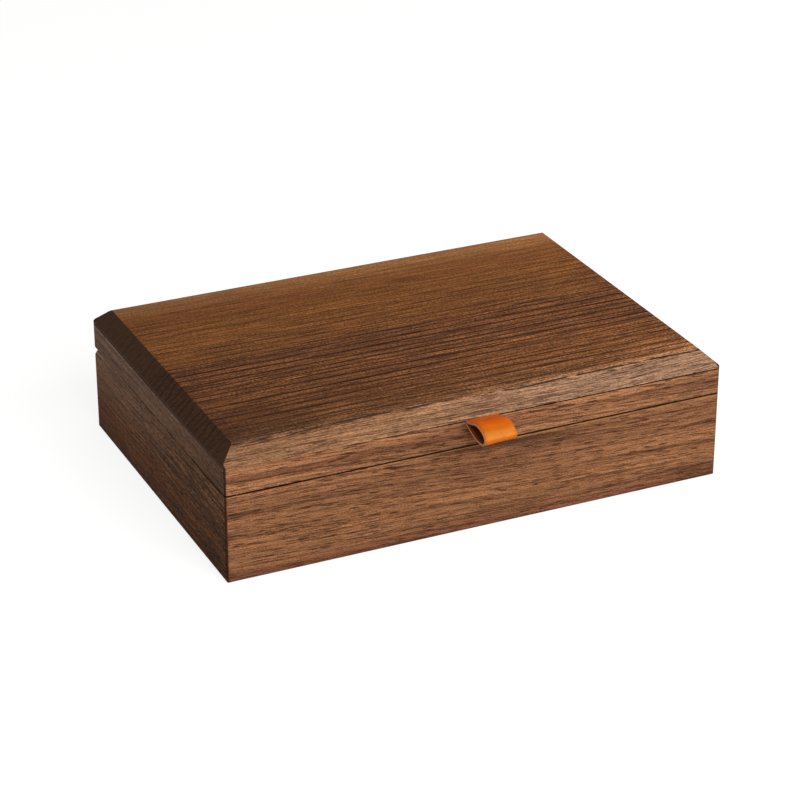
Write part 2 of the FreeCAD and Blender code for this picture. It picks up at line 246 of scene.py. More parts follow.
# Levels of a layer at which a mark begins to show and shows in full. The vein's are distances from its
# middle in metres; those of the painted sheen and of coarse ends are places from the near end at -1 to
# the far end at 1.
SHOWS = {
    "streak": (0.54, 0.66),
    "dash": (0.57, 0.63),
    "pore": (0.61, 0.68),
    "late_wood": (0.68, 0.86),
    "ring_end": (1.0, 0.94),
    "vein": (0.8 * MM, 0.2 * MM),
    "vein_gaps": (0.4, 0.52),
    "pale_end": (-0.6, 0.7),
    "coarse_end": (1.0, -1.0),
}
VEIN_STRENGTH = 0.95
# How far the growth rings lean to the back for each step up through the top board, and how they fade.
RING_LEAN = -1.8
RING_FADE = {"From Min": 0.3, "From Max": 0.55, "To Min": 0.7}
# How strongly the fine grain shows on sawn ends, as a share.
SAWN_CALM = 0.4
# Half the length in metres over which a board drifts from one end to the other.
DRIFT_REACH = 0.11
# Depths in metres under the outer faces where their own marks begin and show in full.
OUTER_SKIN = (1.3 * MM, 0.9 * MM)
# Lines along the outer faces, in metres: the seam, a painted shade a little above the middle of its gap,
# the glue line under the top board, a dark joint with painted shade, and a painted highlight on the
# case's edge below the seam. All three have a soft border.
SEAM_RISE = 0.1 * MM
SEAM_HALF = 0.38 * MM
SEAM_LEVELS = {"From Min": 0.45, "From Max": 0.6}
GLUE_HALF = 0.6 * MM
ARRIS_HIGHLIGHT_DROP = 0.78 * MM
ARRIS_HIGHLIGHT_HALF = 0.2 * MM
ARRIS_HIGHLIGHT_STRENGTH = 0.45
LINE_BORDER = 0.06 * MM
# The glue line and the painted highlight below the seam are fainter at the near end of a board.
LINE_FADE = {"From Min": -0.8, "From Max": 0.1, "To Min": 0.2}
# Depth of a pore against the flecks, strength and depth of their relief, roughness of oiled wood, and
# what a pore adds to it.
PORE_SINK = -1.2
WOOD_RELIEF = (0.35, 0.2 * MM)
OILED = {"To Min": 0.5, "To Max": 0.62}
PORE_ROUGHNESS = 0.2

# Cuts of walnut. Places and sizes are in millimetres, and lists run across the grain. The near end of a
# board is the one at the lower coordinate.
#   axes: along, across and into the grain
#   slope: how far the grain runs downhill, in degrees
#   seed: shift of the whole figure
#   tones: colours; ragged: how far their borders stray
#   drift: how much lighter the far end is, or darker where lean is -1
#   pale: strength of the painted sheen, a pale greyish tone, at the far end
#   streaks: strength of the dark streaks
#   rings: strength of the growth rings
#   grain: length, width and strength of the fine layers
#   calm: strength of the grain; coarse: the share that is added to it at the near end
#   dashes: length and width of the short dark dashes
#   pores: strength of the dashes and pores; close: how much they close towards the far end
#   sawn: how far a face turns to the end of the board where end grain begins and shows in full
#   rim: how far from the ends of the board their dark rim begins and shows in full
#   vein: place of a broken dark vein
#   seam: how dark the painted shade along the line between case and lid stays in its gaps
#   sheen: shine of the oil
FRONT_TONES = [
    (-2, "#7a4c36"), (3, "#8e5d40"), (9, "#a8734e"), (17, "#a8724c"), (25, "#a36f4b"), (33, "#a06c4a"),
    (40, "#a7714d"), (45, "#b37c55"), (48.5, "#9f6947"), (52, "#b07953"), (56, "#b07953")]
# Left side: its tones grow lighter and greyer towards the top, partly a painted reflection of a bright
# backdrop.
SIDE_TONES = [(-2, "#5f3a22"), (12, "#8a5732"), (25, "#895d3c"), (36, "#986b49"), (56, "#ae846a")]
# The pale front bevel of the top is partly paler wood and partly painted sheen.
TOP_TONES = [
    (-84, "#c9936a"), (-71, "#c58e64"), (-66, "#9c663e"), (-50, "#945d35"), (8, "#8f5933"),
    (12, "#9a6031"), (48, "#9a602f"), (58, "#955a2d"), (66, "#995e31"), (76, "#b37846"), (84, "#bc804b")]
TOP_PORES = [(-84, 0.7), (-74, 0.6), (-71, 0.8), (-66, 0.55), (8, 0.55), (14, 0.35), (84, 0.15)]
EVEN_PORES = [(0, 0.7), (60, 0.7)]
FRONT_GRAIN = ((120, 1.3, 0.24), (34, 0.5, 0.14), (0.9, 0.42, 0.34))
FRONT_DASHES = (11, 0.3)
WALNUT_CUTS = {
    "walnut_top": dict(
        axes="XYZ", slope=0.0, ragged=0.8, seed=3.1, sawn=(0.15, 0.3), rim=(1.2, 0.8), streaks=0.12,
        vein=-70.3, sheen=0.05, lean=1.0, tones=TOP_TONES, pores=TOP_PORES,
        rings=[(-84, 0.0), (-70, 0.0), (-66, 0.6), (-45, 1.0), (8, 1.0), (12, 0.55), (45, 0.4),
               (60, 0.2), (84, 0.1)],
        # Painted sheen: the pale tone, and partly the drift, lighten the front bevel towards the right
        # end.
        pale=[(-84, 0.6), (-72, 0.6), (-69, 0.0), (84, 0.0)],
        drift=[(-84, 0.25), (-72, 0.25), (-68, 0.58), (-45, 0.36), (0, 0.03), (30, 0.03), (50, 0.1),
               (84, 0.2)],
        calm=[(-84, 0.45), (-72, 0.45), (-67, 0.9), (8, 1.0), (14, 0.9), (50, 0.75), (84, 0.45)],
        grain=((60, 1.2, 0.36), (22, 0.8, 0.62), (1.2, 0.6, 0.78)), dashes=(14, 0.55)),
    "walnut_front": dict(
        axes="XZY", slope=-2.4, ragged=2.5, seed=7.7, sawn=(0.42, 0.56), streaks=0.5, seam=0.92,
        sheen=0.05, lean=-1.0, tones=FRONT_TONES, pores=EVEN_PORES,
        drift=[(0, 0.03), (40, 0.03), (44, 0.09), (60, 0.09)], grain=FRONT_GRAIN, dashes=FRONT_DASHES),
    "walnut_left": dict(
        axes="YZX", slope=0.0, ragged=2.5, seed=12.4, sawn=(0.3, 0.45), streaks=0.25, seam=0.0,
        sheen=0.015, lean=1.0, tones=SIDE_TONES, close=0.8,
        pores=[(0, 1.0), (38, 1.0), (42, 0.6), (60, 0.6)],
        coarse=[(0, 1.0), (38, 1.0), (42, 0.1), (60, 0.1)],
        # Painted reflection: the pale tone and the drift make the upper back of this side lighter and
        # greyer.
        pale=[(0, 0.0), (16, 0.0), (36, 0.5), (56, 1.0)], drift=[(0, 0.06), (30, 0.18), (60, 0.58)],
        grain=((70, 0.9, 0.26), (24, 0.6, 0.4), (2.0, 0.45, 0.4)), dashes=(18, 0.4)),
    "walnut_right": dict(
        axes="YZX", slope=1.2, ragged=2.5, seed=17.3, sawn=(0.42, 0.56), streaks=0.5, seam=0.6,
        sheen=0.03, tones=FRONT_TONES, pores=EVEN_PORES, grain=FRONT_GRAIN, dashes=FRONT_DASHES),
    "walnut_bottom": dict(
        axes="XYZ", slope=0.0, ragged=2.5, seed=21.9, sawn=(0.15, 0.3), streaks=0.5, sheen=0.05,
        tones=TOP_TONES, pores=TOP_PORES,
        grain=((50, 1.1, 0.3), (14, 0.8, 0.3), (2.0, 0.8, 0.3)), dashes=(18, 0.5)),
}


def walnut(name, settings, cut):
    """Black walnut, planed, sanded and oiled: straight dark figure, open pores and a very low sheen."""
    material, tree, shader = new_material(name, {"Specular IOR Level": cut["sheen"]})
    along, across, into = ("XYZ".index(axis) for axis in cut["axes"])
    coordinates = add_node(tree, "TexCoord")
    points = coordinates["Object"]
    here = add_node(tree, "SeparateXYZ", {0: points})
    place = here[across]

    def figure(vector, long, wide, deep, shift, detail=1.0):
        """Noise drawn out along the grain; the sizes are in metres."""
        scale = [0.0, 0.0, 0.0]
        scale[along], scale[across], scale[into] = 1 / long, 1 / wide, 1 / deep
        laid = add_node(tree, "Mapping", {
            "Vector": vector, "Scale": scale, "Location": [cut["seed"] + shift] * 3})[0]
        return add_node(tree, "TexNoise", {
            "Vector": laid, "Scale": 1.0, "Detail": detail, "Roughness": FIGURE_ROUGHNESS})["Fac"]

    def distance(value, target):
        """How far a value is from a target, either way."""
        gap = add_node(tree, "Math", {0: value, 1: target}, operation="SUBTRACT")[0]
        return add_node(tree, "Math", {0: gap}, operation="ABSOLUTE")[0]

    def strayed(value, layer, reach, levels=LEVELS):
        """A value moved to and fro by a layer of the figure."""
        move = add_node(tree, "MapRange", {
            "Value": layer, **levels, "To Min": -reach, "To Max": reach})[0]
        return add_node(tree, "Math", {0: value, 1: move}, operation="ADD")[0]

    def shown(layer, begins, full, *strengths):
        """How strongly a mark shows, which begins at one level of a layer and is full at another."""
        share = add_node(tree, "MapRange", {
            "Value": layer, "From Min": begins, "From Max": full}, interpolation_type="SMOOTHSTEP")[0]
        for strength in strengths:
            share = add_node(tree, "Math", {0: share, 1: strength}, operation="MULTIPLY")[0]
        return share

    def marked(tone, mark, *shows):
        """A tone with a mark of another colour laid over it, as strongly as it is shown."""
        return add_node(tree, "Mix", {0: shown(*shows), 6: tone, 7: mark}, data_type="RGBA")[2]

    def across_board(stops, value):
        """Tones or strengths laid out across the board, at places in millimetres."""
        low, high = stops[0][0], stops[-1][0]
        share = add_node(tree, "MapRange", {
            "Value": value, "From Min": low * MM, "From Max": high * MM})[0]
        return add_node(tree, "ValToRGB", {0: share}, [
            ((at - low) / (high - low), colour(tone) if isinstance(tone, str) else [tone] * 3)
            for at, tone in stops])[0]

    # The grain runs a little downhill on some boards and strays from straight on all.
    turn = [0.0, 0.0, 0.0]
    turn[into] = math.radians(cut["slope"])
    sloped = add_node(tree, "Mapping", {"Vector": points, "Rotation": turn})[0]
    stray = add_node(tree, "MapRange", {"Value": figure(sloped, *FIGURE["stray"]), "To Min": -1.0})[0]
    reach = [0.0, 0.0, 0.0]
    reach[across] = settings.wander
    aside = add_node(tree, "VectorMath", {0: reach, "Scale": stray}, operation="SCALE")[0]
    bent = add_node(tree, "VectorMath", {0: sloped, 1: aside})[0]

    bands = figure(bent, settings.streak_length, settings.streak_width, STREAK_DEPTH, *STREAK_NOISE)
    wisps = figure(bent, WISP_SHARES[0] * settings.streak_length, WISP_SHARES[1] * settings.streak_width,
                   WISP_DEPTH, *WISP_NOISE)
    pores = figure(bent, settings.pore_length, settings.pore_width, FINE_DEPTH * settings.pore_width,
                   *PORE_NOISE)
    long, wide = (size * MM for size in cut["dashes"])
    dashes = figure(bent, long, wide, FINE_DEPTH * wide, DASH_SHIFT)
    grain = [(figure(bent, long * MM, wide * MM, FINE_DEPTH * wide * MM, GRAIN_SHIFT + wide), strength)
             for long, wide, strength in cut["grain"]]
    grain.append((figure(points, *FIGURE["clouds"]), CLOUD_STRENGTH))
    fray = grain[1][0]
    fleck = grain[2][0]

    # Broad tones across the board, their borders broken up by the bands.
    tone = across_board(cut["tones"], strayed(place, bands, cut["ragged"] * MM, WIDE_LEVELS))
    lengthwise = add_node(tree, "MapRange", {
        "Value": here[along], "From Min": -DRIFT_REACH, "From Max": DRIFT_REACH, "To Min": -1.0})[0]
    if "drift" in cut:
        drift = add_node(tree, "Math", {
            0: lengthwise, 1: across_board(cut["drift"], place)}, operation="MULTIPLY")[0]
        drift = add_node(tree, "Math", {0: drift, 1: cut["lean"], 2: 1.0}, operation="MULTIPLY_ADD")[0]
        tone = add_node(tree, "VectorMath", {0: tone, "Scale": drift}, operation="SCALE")[0]
    outer = 1.0
    if "seam" in cut:
        walls = [(here[0], abs(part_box("case_left_board")[0].x)),
                 (here[1], abs(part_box("case_front_board")[0].y))]
        near = [shown(distance(at, 0.0), *(half - depth for depth in OUTER_SKIN)) for at, half in walls]
        outer = add_node(tree, "Math", {0: near[0], 1: near[1]}, operation="MAXIMUM")[0]
    # Painted sheen: a pale greyish tone on the outer faces towards the far end, for reflected light.
    if "pale" in cut:
        tone = marked(tone, settings.pale_sheen, lengthwise, *SHOWS["pale_end"],
                      across_board(cut["pale"], place), outer)

    # Sawn ends show the tubes of the wood end on, so they drink more oil and turn dark.
    facing = add_node(tree, "SeparateXYZ", {0: coordinates["Normal"]})[along]
    facing = add_node(tree, "Math", {0: facing}, operation="ABSOLUTE")[0]
    sawn = shown(facing, *cut["sawn"])
    if "rim" in cut:
        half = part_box("lid_top_board")[1].x
        away = distance(here[along], 0.0)
        rim = shown(away, *(half - depth * MM for depth in cut["rim"]))
        sawn = add_node(tree, "Math", {0: sawn, 1: rim}, operation="MAXIMUM")[0]
    tone = add_node(tree, "Mix", {0: sawn, 6: tone, 7: settings.end_grain}, data_type="RGBA")[2]

    # Dark streaks with frayed borders, and growth rings that each end in a thin dark line.
    for layer in (bands, wisps):
        frayed = strayed(layer, fray, STREAK_FRAY)
        tone = marked(tone, settings.streak, frayed, *SHOWS["streak"], cut["streaks"])
    if "rings" in cut:
        sunk = add_node(tree, "Math", {
            0: here[into], 1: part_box("lid_top_board")[1].z}, operation="SUBTRACT")[0]
        leaning = add_node(tree, "Math", {0: sunk, 1: RING_LEAN, 2: place}, operation="MULTIPLY_ADD")[0]
        rings = add_node(tree, "Math", {0: leaning, 1: settings.ring_spacing}, operation="DIVIDE")[0]
        rings = strayed(rings, figure(bent, *FIGURE["ring_waver"]), RING_WAVER, ALL_LEVELS)
        saw = add_node(tree, "Math", {0: rings}, operation="FRACT")[0]
        fade = add_node(tree, "MapRange", {"Value": figure(bent, *FIGURE["ring_fade"]), **RING_FADE})[0]
        tone = marked(tone, settings.ring, saw, *SHOWS["late_wood"], shown(saw, *SHOWS["ring_end"]),
                      fade, across_board(cut["rings"], place))

    # Fine grain as lighter and darker shares of the tone, then dashes and open pores.
    calm = add_node(tree, "MapRange", {"Value": sawn, "To Min": 1.0, "To Max": SAWN_CALM})[0]
    if "calm" in cut:
        calm = add_node(tree, "Math", {
            0: calm, 1: across_board(cut["calm"], place)}, operation="MULTIPLY")[0]
    if "coarse" in cut:
        coarse = shown(lengthwise, *SHOWS["coarse_end"], across_board(cut["coarse"], place))
        coarse = add_node(tree, "Math", {0: coarse, 1: outer, 2: 1.0}, operation="MULTIPLY_ADD")[0]
        calm = add_node(tree, "Math", {0: calm, 1: coarse}, operation="MULTIPLY")[0]
    for layer, change in grain:
        share = add_node(tree, "MapRange", {
            "Value": layer, **LEVELS, "To Min": -change, "To Max": change})[0]
        share = add_node(tree, "Math", {0: share, 1: calm, 2: 1.0}, operation="MULTIPLY_ADD")[0]
        tone = add_node(tree, "VectorMath", {0: tone, "Scale": share}, operation="SCALE")[0]
    open_grain = across_board(cut["pores"], place)
    if "close" in cut:
        closing = add_node(tree, "MapRange", {
            "Value": lengthwise, "From Min": -1.0, "To Min": 1.0, "To Max": 1.0 - cut["close"]})[0]
        open_grain = add_node(tree, "Math", {0: open_grain, 1: closing}, operation="MULTIPLY")[0]
    tone = marked(tone, settings.streak, strayed(dashes, bands, DASH_FRAY), *SHOWS["dash"], open_grain)
    pore = shown(pores, *SHOWS["pore"], open_grain)
    tone = add_node(tree, "Mix", {0: pore, 6: tone, 7: settings.pore}, data_type="RGBA")[2]
    if "vein" in cut:
        astray = strayed(place, figure(bent, *FIGURE["vein_stray"]), VEIN_STRAY, ALL_LEVELS)
        unbroken = shown(figure(bent, *FIGURE["vein_gaps"]), *SHOWS["vein_gaps"], VEIN_STRENGTH)
        away = distance(astray, cut["vein"] * MM)
        tone = marked(tone, settings.vein, away, *SHOWS["vein"], unbroken)

    # Painted shade darkens the seam between lid and case, the glue line is a dark joint darkened further
    # by painted shade, and a painted highlight lightens the case's edge below the seam.
    if "seam" in cut:
        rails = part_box("lid_front_rail")
        seam = (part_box("case_front_board")[1].z + rails[0].z) / 2 + SEAM_RISE
        broken = add_node(tree, "MapRange", {
            "Value": figure(points, *FIGURE["seam_gaps"]), **SEAM_LEVELS, "To Min": cut["seam"]},
            interpolation_type="SMOOTHSTEP")[0]
        faint = add_node(tree, "MapRange", {
            "Value": lengthwise, **LINE_FADE}, interpolation_type="SMOOTHSTEP")[0]
        # The seam line is painted shade, the glue line a dark joint with painted shade, the last a
        # painted highlight.
        lines = [(seam, SEAM_HALF, (broken,), settings.pore),
                 (rails[1].z, GLUE_HALF, (faint,), settings.pore),
                 (seam - ARRIS_HIGHLIGHT_DROP, ARRIS_HIGHLIGHT_HALF, (faint, ARRIS_HIGHLIGHT_STRENGTH), settings.arris_highlight)]
        for height, half, strengths, mark in lines:
            away = distance(here[2], height)
            tone = marked(tone, mark, away, half + LINE_BORDER, half, outer, *strengths)

    height = add_node(tree, "Math", {0: pore, 1: PORE_SINK, 2: fleck}, operation="MULTIPLY_ADD")[0]
    rough = add_node(tree, "MapRange", {"Value": fleck, **LEVELS, **OILED})[0]
    rough = add_node(tree, "Math", {0: pore, 1: PORE_ROUGHNESS, 2: rough}, operation="MULTIPLY_ADD")[0]
    coat(tree, shader, tone, rough, height, *WOOD_RELIEF)
    return material


def cad_node(name):
    """A CAD node of the frame by its name."""
    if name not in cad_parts:
        raise RuntimeError("the packed model has no node named " + name)
    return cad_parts[name]


def dress(material, *names):
    """Give CAD nodes a finish; their shape stays."""
    for name in names:
        node = cad_node(name)
        for place in node.material_slots:
            place.material = material


def new_object(name, shape):
    """Turn a bmesh into an object of the scene."""
    mesh = bpy.data.meshes.new(name)
    shape.to_mesh(mesh)
    shape.free()
    made = bpy.data.objects.new(name, mesh)
    bpy.context.scene.collection.objects.link(made)
    return made


def new_piece(name, shape, materials, body, slot, *replaced):
    """Turn a bmesh into a finished, smooth piece that rides on a body in place of CAD nodes."""
    piece = new_object(name, shape)
    for polygon in piece.data.polygons:
        polygon.use_smooth = True
    for material in materials:
        piece.data.materials.append(material)
    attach(piece, body)
    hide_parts(*replaced)
    return piece


class JEWELRY_BOX_OT_walnut(bpy.types.Operator):
    """Give the boards of the case and the lid their walnut"""
    bl_idname = "jewelry_box.walnut"
    bl_label = "Walnut boards"

    def execute(self, context):
        settings = context.scene.jewelry_box.walnut
        cuts = {name: walnut(name, settings, cut) for name, cut in WALNUT_CUTS.items()}
        dress(cuts["walnut_top"], "lid_top_board")
        dress(cuts["walnut_front"], "case_front_board", "case_back_board", "lid_front_rail",
              "lid_back_rail")
        dress(cuts["walnut_left"], "case_left_board", "lid_left_rail")
        dress(cuts["walnut_right"], "case_right_board", "lid_right_rail")
        dress(cuts["walnut_bottom"], "case_bottom_panel")
        return {"FINISHED"}


# Middle line of the tab from its upper tail round the fold to its lower tail: how far it stands out from
# the front of the box, and its height above the top of the lid's rails, in millimetres.
TAB_LINE = [
    (-7.9, -0.65), (-4.0, -0.65), (0.0, -0.65), (4.52, 0.5), (9.23, 1.8), (13.58, 1.4), (17.01, -0.3),
    (18.1, -2.4), (16.83, -4.3), (13.21, -5.0), (9.23, -4.7), (4.52, -3.4), (0.0, -1.85), (-4.0, -1.85),
    (-7.9, -1.85)]
# Steps between two points of the line, and across the strip.
TAB_STEPS = 8
# How much flatter the hand-made fold is at its right end.
TAB_SKEW = 0.25
# Sides of the leather: roughness on and between the pebbles, shine, mottling, strength of the relief.
LEATHER_SIDES = {
    "grain_side": (0.37, 0.5, 0.03, 0.06, 0.30),
    "flesh_side": (0.8, 0.93, 0.0, 0.45, 0.55),
    "cut_edge": (0.7, 0.83, 0.0, 0.35, 0.45),
}
# Size of the fibres and of the clouds in the dye, and depth of the relief, in metres.
FIBRE = 0.35 * MM
DYE_CLOUD = 4 * MM
LEATHER_DEPTH = 0.1 * MM


def leather(settings):
    """Vegetable-tanned cowhide: dyed satin outside, raw fibrous inside and a pale cut edge."""
    finishes = []
    for side, (smooth, rough, sheen, mottle, relief) in LEATHER_SIDES.items():
        material, tree, shader = new_material("leather_" + side, {"Specular IOR Level": sheen})
        coordinates = add_node(tree, "TexCoord")
        points = coordinates["Object"]
        tone = getattr(settings, side)
        if side == "grain_side":
            # Painted light: the front of the fold gets a lighter, yellower tone for the key light on it,
            # and a painted highlight where the fold turns up into its top.
            facing = add_node(tree, "SeparateXYZ", {0: coordinates["Normal"]})
            turned = add_node(tree, "MapRange", {
                "Value": facing[1], "From Min": 0.0, "From Max": -0.4})[0]
            tone = add_node(tree, "Mix", {0: turned, 6: tone, 7: settings.face}, data_type="RGBA")[2]
            rising = add_node(tree, "MapRange", {
                "Value": facing[2], "From Min": 0.05, "From Max": 0.4})[0]
            rounding = add_node(tree, "MapRange", {
                "Value": facing[1], "From Min": -0.35, "From Max": -0.75})[0]
            fold_highlight_mask = add_node(tree, "Math", {0: rising, 1: rounding}, operation="MULTIPLY")[0]
            tone = add_node(tree, "Mix", {0: fold_highlight_mask, 6: tone, 7: settings.bend}, data_type="RGBA")[2]
        cells = add_node(tree, "TexVoronoi", {
            "Vector": points, "Scale": 1 / settings.pebble}, feature="SMOOTH_F1")["Distance"]
        fibres = add_node(tree, "TexNoise", {"Vector": points, "Scale": 1 / FIBRE, "Detail": 2.0})["Fac"]
        clouds = add_node(tree, "TexNoise", {
            "Vector": points, "Scale": 1 / DYE_CLOUD, "Detail": 2.0})["Fac"]
        height = add_node(tree, "Math", {0: cells, 1: fibres}, operation="ADD")[0]
        tone = mottled(tree, tone, fibres, darkest=1 - mottle, lightest=1 + mottle)
        tone = mottled(tree, tone, clouds, darkest=0.93, lightest=1.07)
        matt = add_node(tree, "MapRange", {
            "Value": cells, "From Max": 0.8, "To Min": smooth, "To Max": rough})[0]
        coat(tree, shader, tone, matt, height, relief, LEATHER_DEPTH)
        finishes.append(material)
    return finishes


class JEWELRY_BOX_OT_pull_tab(bpy.types.Operator):
    """Fold the leather strip into the pull tab"""
    bl_idname = "jewelry_box.pull_tab"
    bl_label = "Pull tab"

    def execute(self, context):
        settings = context.scene.jewelry_box.leather
        low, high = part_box("pull_tab")
        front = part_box("lid_front_rail")[0].y
        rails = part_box("lid_front_rail")[1].z
        curve = bpy.data.curves.new("tab_line", "CURVE")
        curve.dimensions = "3D"
        curve.resolution_u = TAB_STEPS
        spline = curve.splines.new("BEZIER")
        spline.bezier_points.add(len(TAB_LINE) - 1)
        for point, (out, up) in zip(spline.bezier_points, TAB_LINE):
            point.co = (low.x, front - out * MM, rails + up * MM)
            point.handle_left_type = "AUTO"
            point.handle_right_type = "AUTO"
        line = bpy.data.objects.new("tab_line", curve)
        drawn = bpy.data.meshes.new_from_object(line)
        shape = bmesh.new()
        shape.from_mesh(drawn)
        bpy.data.objects.remove(line)
        bpy.data.curves.remove(curve)
        bpy.data.meshes.remove(drawn)
        edges = shape.edges[:]
        for step in range(TAB_STEPS):
            made = bmesh.ops.extrude_edge_only(shape, edges=edges)["geom"]
            moved = [item for item in made if isinstance(item, bmesh.types.BMVert)]
            bmesh.ops.translate(shape, verts=moved, vec=((high.x - low.x) / TAB_STEPS, 0, 0))
            edges = [item for item in made if isinstance(item, bmesh.types.BMEdge)]
        for vert in shape.verts:
            share = (vert.co.x - low.x) / (high.x - low.x)
            lift = TAB_SKEW * share * (rails - vert.co.z) * (vert.co.y < front)
            vert.co.z = max(vert.co.z, vert.co.z + lift)
        bmesh.ops.recalc_face_normals(shape, faces=shape.faces[:])
        tab = new_piece("pull_tab_leather", shape, leather(settings), "lid", "tan_leather", "pull_tab")
        wall = tab.modifiers.new("thickness", "SOLIDIFY")
        wall.thickness = settings.thickness
        wall.offset = 0.0
        wall.material_offset = 1
        wall.material_offset_rim = 2
        return {"FINISHED"}


# Length in metres of a stroke left in the nap by a hand.
STROKE = 14 * MM


def suede(name, settings):
    """Split-hide suede: a matt nap with lighter and darker strokes and a soft halo at grazing light."""
    material, tree, shader = new_material(name, {
        "Specular IOR Level": 0.2, "Sheen Weight": 0.25, "Sheen Roughness": 0.5})
    points = add_node(tree, "TexCoord")["Object"]
    nap = add_node(tree, "TexNoise", {
        "Vector": points, "Scale": 1 / settings.nap, "Detail": 3.0, "Roughness": 0.6})["Fac"]
    strokes = add_node(tree, "TexNoise", {
        "Vector": points, "Scale": 1 / STROKE, "Detail": 2.0, "Distortion": 0.6})["Fac"]
    tone = mottled(tree, settings.suede, nap, darkest=0.8, lightest=1.2, levels=WIDE_LEVELS)
    tone = mottled(tree, tone, strokes, darkest=0.9, lightest=1.1)
    matt = add_node(tree, "MapRange", {"Value": nap, **WIDE_LEVELS, "To Min": 0.85, "To Max": 0.98})[0]
    coat(tree, shader, tone, matt, nap, strength=0.5, depth=0.15 * MM)
    return material


def suede_piece(context, node, shape, body):
    """A padded piece in the one suede of the lining, in place of the CAD node that it is named after."""
    material = bpy.data.materials.get("suede_nap")
    material = material or suede("suede_nap", context.scene.jewelry_box.lining)
    piece = new_piece("suede_" + node, shape, [material], body, "suede", node)
    return piece


def rounded(shape, edges, radius, steps):
    """Round some edges of a shape."""
    bmesh.ops.bevel(shape, geom=edges, offset=radius, offset_type="OFFSET", segments=steps, profile=0.5,
                    affect="EDGES", material=-1)


# How full the suede is: wrapped round a board, as a pad on the floor, and as a roll.
# Distance in metres under which two places are the same.
SAME = 1e-6
# Wrapped boards: cuts across, steps round an edge, and limits of rounding and crown by the thickness.
BOARD_CUTS = 24
EDGE_STEPS = 3
EDGE_SHARE = 0.45
CROWN_SHARE = 0.2
# Their faces rise over a slope to a share of the crown, which varies with the lumps in the padding.
CROWN_SLOPE = 12 * MM
CROWN_LEVEL = 0.75
LUMP_SHARE = 0.25
LUMP_SIZE = 18 * MM


def wrapped_board(context, node):
    """A thin board wrapped in suede: rounded edges and faces that stand out a little in their middle."""
    settings = context.scene.jewelry_box.lining
    low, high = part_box(node)
    size = high - low
    middle = (low + high) / 2
    thin = min(range(3), key=lambda axis: size[axis])
    shape = bmesh.new()
    bmesh.ops.create_cube(shape, size=1.0)
    bmesh.ops.scale(shape, vec=size, verts=shape.verts)
    bmesh.ops.translate(shape, vec=middle, verts=shape.verts)
    rounded(shape, shape.edges[:], min(settings.edge, EDGE_SHARE * size[thin]), EDGE_STEPS)
    wide = [axis for axis in range(3) if axis != thin]
    for axis in wide:
        for cut in range(1, BOARD_CUTS):
            at = Vector(low)
            at[axis] += size[axis] * cut / BOARD_CUTS
            flat = Vector((0, 0, 0))
            flat[axis] = 1.0
            bmesh.ops.bisect_plane(shape, geom=shape.verts[:] + shape.edges[:] + shape.faces[:],
                                   plane_co=at, plane_no=flat, dist=SAME)
    crown = min(settings.crown, CROWN_SHARE * size[thin])
    for vert in shape.verts:
        out = 1.0
        for axis in wide:
            reach = min(0.5 * size[axis], CROWN_SLOPE)
            near = min(vert.co[axis] - low[axis], high[axis] - vert.co[axis])
            out *= math.sin(0.5 * math.pi * min(1.0, near / reach))
        share = (vert.co[thin] - middle[thin]) / (0.5 * size[thin])
        uneven = LUMP_SHARE * noise.noise(vert.co / LUMP_SIZE)
        vert.co[thin] -= share * crown * (1 - out * (CROWN_LEVEL + uneven))
    suede_piece(context, node, shape, "case")


class JEWELRY_BOX_OT_lining(bpy.types.Operator):
    """Line the case with padded suede"""
    bl_idname = "jewelry_box.lining"
    bl_label = "Suede lining"

    def execute(self, context):
        for side in ("front", "back", "left", "right"):
            wrapped_board(context, "lining_" + side)
        wrapped_board(context, "floor_pad")
        wrapped_board(context, "ring_base")
        return {"FINISHED"}


# Gap in metres between the lid's lining and the mirror, and steps round the lining's edges.
MIRROR_GAP = 0.1 * MM
FRAME_STEPS = 4


class JEWELRY_BOX_OT_lid_lining(bpy.types.Operator):
    """Frame the mirror with padded suede under the lid"""
    bl_idname = "jewelry_box.lid_lining"
    bl_label = "Lid lining"

    def execute(self, context):
        settings = context.scene.jewelry_box.lining
        low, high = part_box("lid_lining")
        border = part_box("lid_mirror")[0].x - low.x - MIRROR_GAP
        shape = bmesh.new()
        bmesh.ops.create_grid(shape, x_segments=1, y_segments=1, size=0.5)
        bmesh.ops.scale(shape, vec=(high.x - low.x, high.y - low.y, 1), verts=shape.verts)
        bmesh.ops.translate(shape, vec=(0, 0, low.z), verts=shape.verts)
        inner = shape.faces[:]
        bmesh.ops.inset_region(shape, faces=inner, thickness=border, use_boundary=True,
                               use_even_offset=True)
        bmesh.ops.delete(shape, geom=inner, context="FACES")
        made = bmesh.ops.extrude_face_region(shape, geom=shape.faces[:])["geom"]
        upper = [item for item in made if isinstance(item, bmesh.types.BMVert)]
        bmesh.ops.translate(shape, verts=upper, vec=(0, 0, high.z - low.z))
        bmesh.ops.recalc_face_normals(shape, faces=shape.faces[:])
        # Edges where the face that looks down meets the walls.
        rims = [edge for edge in shape.edges if all(vert.co.z < low.z + SAME for vert in edge.verts)
                and len({face.normal.z < -0.5 for face in edge.link_faces}) == 2]
        rounded(shape, rims, settings.edge, FRAME_STEPS)
        suede_piece(context, "lid_lining", shape, "lid")
        return {"FINISHED"}


class JEWELRY_BOX_OT_dividers(bpy.types.Operator):
    """Wrap the dividers in suede"""
    bl_idname = "jewelry_box.dividers"
    bl_label = "Dividers"

    def execute(self, context):
        for name in ("long", "ring_bay", "back", "front_left", "front_right"):
            wrapped_board(context, name + "_divider")
        return {"FINISHED"}


# Sides of a roll, and the radius and steps of its rounded ends.
ROLL_SIDES = 32
ROLL_ROUNDING = 2.4 * MM
ROLL_STEPS = 5
